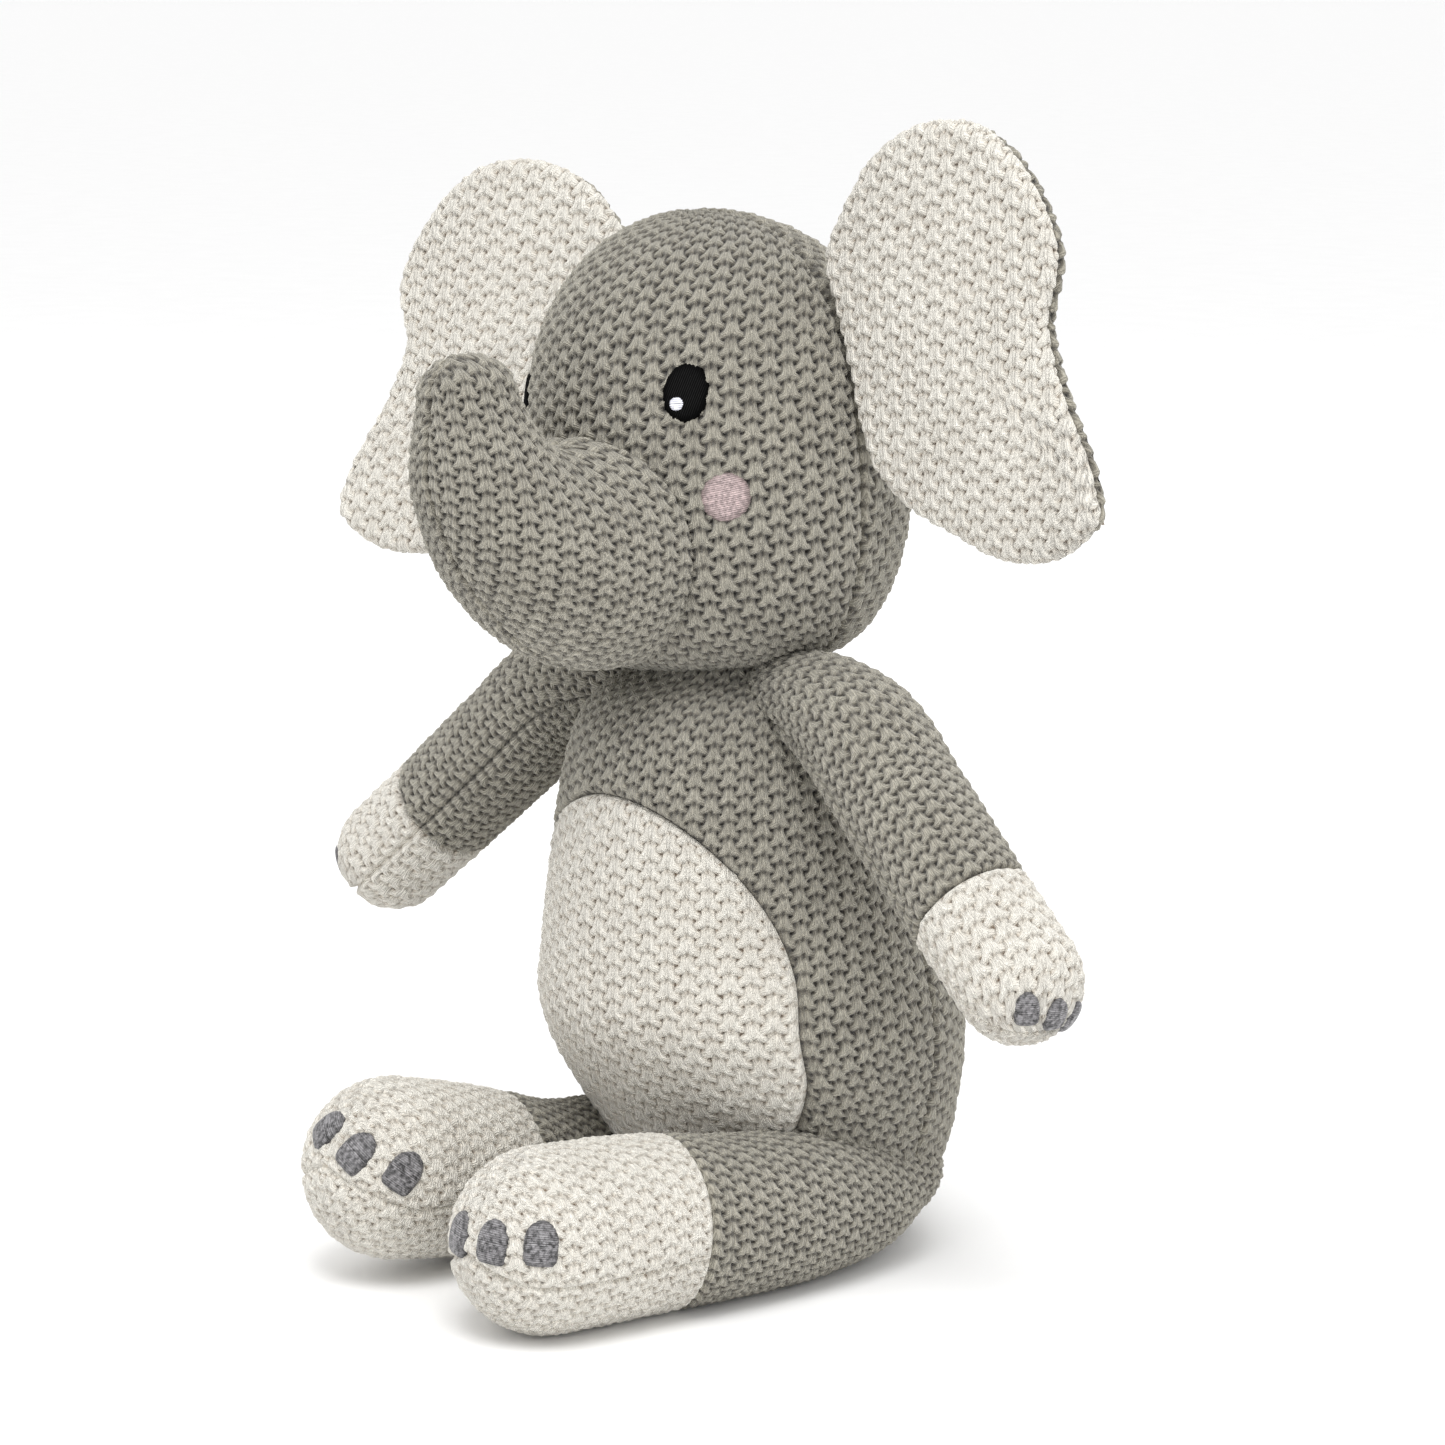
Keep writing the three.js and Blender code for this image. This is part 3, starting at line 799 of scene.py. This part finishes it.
def trunk_surface(angle, distance, keys, table):
    """Places on the trunk, and the same places rolled out flat, for one side of it."""
    section = smooth_through(keys, table, np.minimum(distance, keys[-1]))
    upper, lower, width = section[..., 0:2], section[..., 2:4], section[..., 4]
    cap = np.clip((distance - keys[-1]) / TRUNK_CAP, 0, 1)
    shrink = np.sqrt(1 - cap**2)
    half = (upper - lower) / 2 * shrink[..., None]
    ahead = unit(np.stack([upper[..., 1] - lower[..., 1], lower[..., 0] - upper[..., 0]], -1))
    centre = (upper + lower) / 2 - ahead * (TRUNK_CAP * cap)[..., None]
    y, z = np.moveaxis(centre + half * np.sin(angle)[..., None], -1, 0)
    rolled_out = np.where(angle > 0, 0.4 * angle + 0.6 * np.sin(angle), angle)
    flat = centre + half * rolled_out[..., None]
    return np.stack([width * shrink * np.cos(angle), y, z], -1), flat


def above_face(points):
    """How far points in the head's own frame are outside its smooth form."""
    _, half_x, half_y, y = head_form.level(head_form.distance_at(points[..., 2]))
    share = np.hypot(points[..., 0] / half_x, (points[..., 1] - y) / half_y)
    return (share - 1) * (half_x + half_y) / 2


def make_trunk():
    """The trunk's left and right panels, sewn to the face and along the front and the back."""
    table = np.array([(*upper, *lower, width) for upper, lower, width in TRUNK_SECTIONS], float)
    middles = (table[:, 0:2] + table[:, 2:4]) / 2
    keys = lengths(middles)
    cap = keys[-1] + TRUNK_CAP * np.sin(np.linspace(0, math.pi / 2, 26))
    distance = np.concatenate([spread(0, keys[-1], 0.40)[:-1], cap])[:, None]
    angle = spread(-math.pi / 2, math.pi / 2, 0.42 / 24)[None, :]
    angle, distance = angle + 0 * distance, distance + 0 * angle
    for side, sign in LEFT_AND_RIGHT:
        local, flat = trunk_surface(angle, distance, keys, table)
        points = from_head(local * (sign, 1, 1))
        inside = from_head((0, -55, 42))
        name = f"trunk_{side}_panel"
        piece = knit_panel(name, points, -flat[..., 0], flat[..., 1], FINE_GREY, inside,
                           poles=("high",), seams=("left", "right"), width=2.0, depth=1.3,
                           edge=np.maximum(above_face(local) * 1.5 - 1.05, -TRUNK_HIDDEN))
        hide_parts(name, *(["trunk_filling"] if side == "left" else []))
        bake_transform(piece)


def arm_parts(sign):
    """The arm's tube, mirrored for the right arm."""
    drop = RIGHT_ARM_DROP if sign < 0 else 0
    stations = [((x * sign, y, z - drop), radius) for (x, y, z), radius in ARM_LINE]
    return Tube(stations, (0, 1, 0))


def make_arms():
    """Sleeves and paws. Each has one seam along the front of the arm."""
    for side, sign in LEFT_AND_RIGHT:
        tube = arm_parts(sign)
        for part, start, end, yarn in (
            ("sleeve", 0, ARM_CUFF, FINE_GREY),
            ("paw", ARM_CUFF, tube.length, CREAM),
        ):
            distance = tube.spaced(start, end, 0.44)[:, None]
            turn = spread(0, 2 * math.pi, 0.44 / tube.widest)[None, :]
            turn, distance = turn + 0 * distance, distance + 0 * turn
            angle = turn + math.radians(ARM_SEAM * sign)
            points = tube.place(angle, distance)
            radius = 0.6 * tube.radius(distance) + 0.4 * tube.widest
            across = (turn - math.pi) * radius
            is_paw = part == "paw"
            seams = ("left", "right", "low" if is_paw else "high")
            name = f"arm_{side}_{part}"
            piece = knit_panel(name, points, across, -tube.arc(distance), yarn, (75 * sign, -16, 103),
                               poles=("high",) if is_paw else (), seams=seams,
                               width=1.4, depth=0.5 if is_paw else 0.9, shade=0.75)
            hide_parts(name, *([] if is_paw else [f"arm_{side}_filling"]))
            if is_paw:
                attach(piece, f"arm_{side}")
            else:
                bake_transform(piece)


def leg_tube(side, sign):
    """A leg's tube, which bows outwards and narrows to the hip, and the distance to its cuff."""
    hip, toe = (np.array(LEGS[side][key], float) for key in ("hip", "toe"))
    length = float(np.linalg.norm(toe - hip))
    stations = []
    for share, radius, bow, lift in LEG_SHAPE[side]:
        centre = hip + (toe - hip) * share + (bow * sign, 0, lift)
        stations.append((centre, radius))
    tube = Tube(stations, (0, 0, 1), round_start=True)
    first = LEG_SHAPE[side][0]
    return tube, first[1] + LEG_CUFF - first[0] * length


def foot_cloth(tube, points, distance, toe):
    """Places in the cloth of a foot: its rows run along the sides and round the toe."""
    _, up_way, side_way = tube.axes(np.array([tube.length - FOOT_RADIUS]))
    ahead = unit(np.cross(up_way[0], side_way[0]))
    local = points - toe
    forward = np.maximum(np.abs(local @ ahead) * (distance > tube.length - FOOT_RADIUS), 0)
    sideways = np.abs(local @ side_way[0])
    height = np.arctan2(local @ up_way[0], np.hypot(sideways, forward))
    round_toe = np.arctan2(forward, np.maximum(sideways, 1e-6)) * np.cos(height)
    across = np.minimum(distance, tube.length - FOOT_RADIUS) + FOOT_RADIUS * round_toe
    return across, FOOT_RADIUS * height


def make_legs():
    """Each leg has a grey upper, and a cream foot of an instep and a sole."""
    for side, sign in LEFT_AND_RIGHT:
        tube, cuff = leg_tube(side, sign)
        inside = np.mean([LEGS[side]["hip"], LEGS[side]["toe"]], axis=0)
        plans = (
            ("upper", 0, cuff, FINE_GREY, ("high",), ("low",)),
            ("instep", cuff, tube.length, FINE_CREAM, ("low", "left", "right"), ("high",)),
            ("sole", cuff, tube.length, FINE_CREAM, ("low", "left", "right"), ("high",)),
        )
        for part, start, end, yarn, seams, poles in plans:
            distance = tube.spaced(start, end, 0.46)[:, None]
            centre = tube.axes(distance[:, 0])[0][:, None, 2]
            radius = np.maximum(tube.radius(distance), 1e-6)
            drop = SOLE_Z + LEGS[side]["toe"][2] - FOOT_RADIUS - centre
            seam = np.arccos(np.clip(drop / radius, -0.34, 0.34))
            half, middle = {
                "upper": (math.pi + 0 * seam, 0),
                "instep": (seam, 0),
                "sole": (math.pi - seam, math.pi),
            }[part]
            count = spread(-1, 1, 0.46 / (float(half.max()) * tube.widest))[None, :]
            angle = middle + half * count
            distance = distance + 0 * count
            points = tube.place(angle, distance)
            if part == "upper":
                across = tube.arc(distance)
                along = angle * (0.7 * tube.radius(distance) + 0.3 * tube.widest)
            else:
                across, along = foot_cloth(tube, points, distance, LEGS[side]["toe"])
            name = f"leg_{side}_{part}"
            piece = knit_panel(name, points, across, along, yarn, inside, poles=poles,
                               seams=seams, width=1.0, depth=0.2, shade=1.0, flat=0.0)
            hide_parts(name, *([f"leg_{side}_filling"] if part == "upper" else []))
            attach(piece, f"leg_{side}")


# ---------- Ears ----------


def ear_reach(bearing):
    """Distance from an ear's middle to its outline at a bearing."""
    ring = np.array(EAR_OUTLINE + EAR_OUTLINE[:3], float)
    keys = lengths(ring)
    dense = smooth_through(keys, ring, np.linspace(keys[1], keys[-2], 900)) - EAR_MIDDLE
    bearings = np.arctan2(dense[:, 1], dense[:, 0])
    order = np.argsort(bearings)
    return np.interp(bearing, bearings[order], np.hypot(*dense[order].T), period=2 * math.pi)


def make_ears():
    """A cream front panel on a grey back panel, which wraps round the rim."""
    for side, sign in LEFT_AND_RIGHT:
        x_turn, y_turn, z_turn = EAR_TURN[side]
        roll = turned("z", z_turn) @ turned("y", y_turn) @ turned("x", x_turn)
        pivot = np.array((EAR_PIVOT[0], 0, EAR_PIVOT[1]))
        for part, facing, yarn, rim_turn in (
            ("front", -1, CREAM, 106),
            ("back", 1, GREY, 72),
        ):
            p, q, radius = disc(EAR_POINTS)
            full = ear_reach(np.arctan2(q, p))
            flat = np.minimum(radius / EAR_FLAT, 1)
            turn = np.radians(rim_turn) * np.clip((radius - EAR_FLAT) / (1 - EAR_FLAT), 0, 1)
            rim = EAR_THICKNESS / 2 * (EAR_RIM + (1 - EAR_RIM) * (1 - flat**2))
            reach = full * (EAR_FLAT_REACH * flat + (1 - EAR_FLAT_REACH) * np.sin(turn))
            run = full * EAR_FLAT_REACH * flat + rim * turn
            spoke = np.stack([p, q], -1) / np.maximum(radius, 1e-9)[..., None]
            x = EAR_MIDDLE[0] + spoke[..., 0] * reach
            z = EAR_MIDDLE[1] + spoke[..., 1] * reach
            y = facing * rim * np.cos(turn)
            y = y + 1.6 * np.sin((z - 60) / 24) - 2.2 * ((x - EAR_PIVOT[0]) / 60) ** 2
            local = np.stack([x, y, z], -1) - pivot
            local[..., 0] *= sign
            hung = local @ roll.T + (EAR_PIVOT[0] * sign, EAR_ROOT_Y, EAR_PIVOT[1])
            middle = np.array((EAR_MIDDLE[0], 0, EAR_MIDDLE[1])) - pivot
            middle[0] *= sign
            middle = middle @ roll.T + (EAR_PIVOT[0] * sign, EAR_ROOT_Y, EAR_PIVOT[1])
            edge = (1 - radius) / (1 - EAR_FLAT) * np.radians(rim_turn) * rim
            cloth_x = EAR_MIDDLE[0] + spoke[..., 0] * run
            cloth_z = EAR_MIDDLE[1] + spoke[..., 1] * run
            name = f"ear_{side}_{part}_panel"
            piece = knit_panel(name, from_head(hung), cloth_x, cloth_z, yarn, from_head(middle),
                               edge=edge, width=1.2, depth=0.8)
            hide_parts(name, *([f"ear_{side}_wadding"] if part == "front" else []))
            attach(piece, f"ear_{side}")


# ---------- Embroidery ----------


def oval(bearing, half):
    """Reach of an oval outline at a bearing."""
    return 1 / np.hypot(np.cos(bearing) / half[0], np.sin(bearing) / half[1])


def arch(bearing, half):
    """Reach of a nail's outline at a bearing: round at the top and straight at the bottom."""
    across, up = np.cos(bearing), np.sin(bearing)
    square = (np.abs(across / half[0]) ** 5 + np.abs(up / half[1]) ** 5) ** (-1 / 5)
    return np.where(up > 0, oval(bearing, half), square)


def thread_pad(name, place, outline, half, slot, body, threads, rise):
    """A raised pad of satin stitch. place puts offsets across and up onto the panel below it."""
    p, q, radius = disc(int(2 * max(half) / 0.13))
    bearing = np.arctan2(q, p)
    reach = outline(bearing, half)
    across, up = np.cos(bearing) * reach * radius, np.sin(bearing) * reach * radius
    points = place(across, up)
    tangent_a = np.gradient(points, axis=1)
    tangent_b = np.gradient(points, axis=0)
    normals = unit(np.cross(tangent_a, tangent_b))
    lie = np.radians(threads)
    strand = -across * math.sin(lie) + up * math.cos(lie)
    ragged = 0.012 * np.sin(strand * 2 * math.pi / 0.9 + 1.0)
    crown = np.sqrt(np.clip(1 - (radius * (1 + ragged)) ** 6, 0, 1))
    ridge = np.sqrt(np.abs(np.sin(strand * math.pi / 0.46)))
    height = crown * rise + 0.2 * ridge * crown - 0.5 * (1 - crown)
    placed = points + normals * height[..., None]
    quads, triangles = grid_faces(*points.shape[:2], False, (), False, None)
    # height places the painted shade between the threads and the painted highlight on their crowns.
    values = {"height": ridge * crown, "strand": strand}
    piece = mesh_object(name, placed.reshape(-1, 3), quads, triangles, values)
    piece.data.materials.append(MATERIALS[slot])
    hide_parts(name)
    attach(piece, body)


def on_head(feature, sign):
    """Puts offsets onto the head around a feature of the face."""
    lean = math.radians(feature["lean"] * sign)

    def place(across, up):
        x = across * math.cos(lean) - up * math.sin(lean)
        z = across * math.sin(lean) + up * math.cos(lean)
        distance = head_form.distance_at(feature["height"]) + z
        radius = head_form.level(distance)[1]
        angle = math.radians(feature["side"] * sign) + x / radius
        return from_head(head_form.place(angle, distance))

    return place


def on_ball(centre, radius, turn, tilt, lean=0):
    """Puts offsets onto a round end, around the place at a turn and tilt."""
    direction = turned("z", turn) @ turned("x", -tilt) @ np.array((0, -1, 0))
    level_way = unit(np.cross(-direction, (0, 0, 1)))
    steep_way = np.cross(level_way, -direction)
    c, s = math.cos(math.radians(lean)), math.sin(math.radians(lean))
    across_way = c * level_way - s * steep_way
    up_way = s * level_way + c * steep_way

    def place(across, up):
        spot = direction * radius + across[..., None] * across_way + up[..., None] * up_way
        return np.array(centre) + unit(spot) * radius

    return place


def make_embroidery():
    """The eyes, cheeks and nails."""
    for side, sign in LEFT_AND_RIGHT:
        head_pads = (
            (f"eye_{side}", EYE, "black_thread", 80, 1.0),
            (f"eye_{side}_highlight", HIGHLIGHT, "pale_thread", 0, 1.3),
            (f"cheek_{side}", CHEEK, "pink_thread", 8, 0.95),
        )
        for name, feature, slot, threads, rise in head_pads:
            thread_pad(name, on_head(feature, sign), oval, feature["half"], slot, "head",
                       threads * sign, rise)
        for index, (turn, tilt) in enumerate(FOOT_NAILS[side]):
            place = on_ball(LEGS[side]["toe"], FOOT_RADIUS, turn, tilt, FOOT_NAIL_LEAN[side])
            thread_pad(f"leg_{side}_nail_{index + 1}", place, arch, FOOT_NAIL_HALF,
                       "nail_thread", f"leg_{side}", 0, 1.0)
        for index, (turn, tilt) in enumerate(PAW_NAILS):
            centre = np.array(ARM_LINE[-1][0]) * (sign, 1, 1)
            place = on_ball(centre, PAW_RADIUS, turn * sign, tilt)
            thread_pad(f"arm_{side}_nail_{index + 1}", place, arch, PAW_NAIL_HALF,
                       "nail_thread", f"arm_{side}", 0, 1.1)


# ---------- Floor, light and camera ----------

CAMERA = {"azimuth": 45, "elevation": 10, "distance": 1.1, "lens": 118.1}
CAMERA_TARGET = (-0.0042, -0.0042, 0.122)


def look(azimuth, elevation):
    """Direction from the object towards a viewer."""
    a, e = math.radians(azimuth), math.radians(elevation)
    return np.array((math.sin(a) * math.cos(e), -math.cos(a) * math.cos(e), math.sin(e)))


def aim(thing, place, target):
    """Puts a camera or light at a place, facing a target."""
    from mathutils import Vector

    thing.location = place
    facing = Vector(target) - Vector(place)
    thing.rotation_euler = facing.to_track_quat("-Z", "Y").to_euler()


def make_studio():
    """A pale floor, soft lights and the camera."""
    camera = bpy.data.objects.new("camera", bpy.data.cameras.new("camera"))
    camera.data.lens = CAMERA["lens"]
    camera.data.sensor_width = 36
    camera.data.clip_end = 200
    place = look(CAMERA["azimuth"], CAMERA["elevation"]) * CAMERA["distance"]
    aim(camera, place + CAMERA_TARGET, CAMERA_TARGET)
    bpy.context.scene.collection.objects.link(camera)
    bpy.context.scene.camera = camera

    floor_mesh = bpy.data.meshes.new("floor")
    reach = 60
    floor_mesh.from_pydata(
        [(-reach, -reach, 0), (reach, -reach, 0), (reach, reach, 0), (-reach, reach, 0)],
        [], [(0, 1, 2, 3)])
    floor = bpy.data.objects.new("floor", floor_mesh)
    bpy.context.scene.collection.objects.link(floor)
    paper = Nodes("paper")
    grain = paper.ramp(paper.noise(30, 3), ((0.3, (0.955, 0.955, 0.955)), (0.7, (0.975, 0.975, 0.975))))
    paper.set(paper.shader.inputs["Base Color"], grain)
    paper.shader.inputs["Roughness"].default_value = 0.9
    floor_mesh.materials.append(paper.material)

    for name, azimuth, elevation, distance, size, power in (
        ("key", 42, 64, 1.5, 0.8, 11),
        ("fill", 100, 25, 1.6, 1.4, 1),
        ("back", 210, 50, 1.6, 1.0, 4),
    ):
        light = bpy.data.objects.new(name, bpy.data.lights.new(name, "AREA"))
        light.data.shape = "DISK"
        light.data.size = size
        light.data.energy = power
        aim(light, look(azimuth, elevation) * distance, (0, 0, 0.11))
        bpy.context.scene.collection.objects.link(light)
    world = bpy.data.worlds.new("studio")
    world.use_nodes = True
    background = world.node_tree.nodes["Background"]
    background.inputs["Color"].default_value = (1, 1, 1, 1)
    background.inputs["Strength"].default_value = 1.0
    bpy.context.scene.world = world
    bpy.context.scene.view_settings.view_transform = "Standard"


make_studio()
make_body()
make_head()
make_trunk()
make_ears()
make_arms()
make_legs()
make_embroidery()
